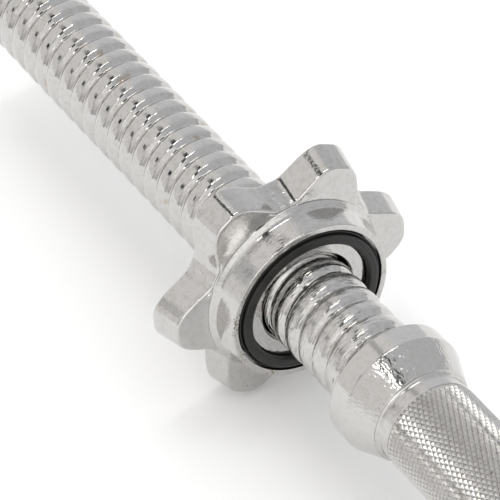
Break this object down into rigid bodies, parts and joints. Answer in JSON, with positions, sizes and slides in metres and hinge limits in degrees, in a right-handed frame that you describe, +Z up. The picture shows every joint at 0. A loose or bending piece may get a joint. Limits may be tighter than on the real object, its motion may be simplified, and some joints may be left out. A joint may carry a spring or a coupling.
{
  "type": "adjustable dumbbell handle",
  "caption": "Adjustable dumbbell handle: chromed threaded bar with knurled grip, fixed inner collars and star-shaped screw collars with rubber rings.",
  "frame": {"origin": "middle of the grip, on the bar's axis", "axes": "+X along the bar, towards the right end; +Z up with the handle lying on the lobes of its star collars; +Y away from the front"},
  "size_m": [0.508, 0.0696, 0.063],
  "materials": {
    "bar_chrome": "bright chrome plate on a coarse thread and a fine diamond knurl",
    "collar_chrome": "bright chrome plate over turned steel",
    "star_chrome": "bright chrome plate over a smooth casting, lightly scratched",
    "rubber": "matt black moulded rubber"
  },
  "bodies": {
    "bar": {"bar": "bar_chrome", "inner_collar_left": "collar_chrome", "inner_collar_right": "collar_chrome"},
    "ring_left": {"rubber_ring_left": "rubber"},
    "star_left": {"star_collar_left": "star_chrome"},
    "ring_right": {"rubber_ring_right": "rubber"},
    "star_right": {"star_collar_right": "star_chrome"}
  },
  "joints": [
    {"name": "travel_left", "type": "slide", "parent": "bar", "child": "ring_left", "axis": [1, 0, 0], "range_m": [-0.1441, 0.0331]},
    {"name": "spin_left", "type": "hinge", "parent": "ring_left", "child": "star_left", "pos_m": [-0.1099, 0, 0], "axis": [1, 0, 0], "range_deg": [-8640, 1980]},
    {"name": "travel_right", "type": "slide", "parent": "bar", "child": "ring_right", "axis": [-1, 0, 0], "range_m": [-0.1441, 0.0331]},
    {"name": "spin_right", "type": "hinge", "parent": "ring_right", "child": "star_right", "pos_m": [0.1099, 0, 0], "axis": [-1, 0, 0], "range_deg": [-8640, 1980]}
  ],
  "couplings": [
    {"joint": "travel_left", "follows": "spin_left", "m_per_rad": 0.00095493},
    {"joint": "travel_right", "follows": "spin_right", "m_per_rad": 0.00095493}
  ]
}
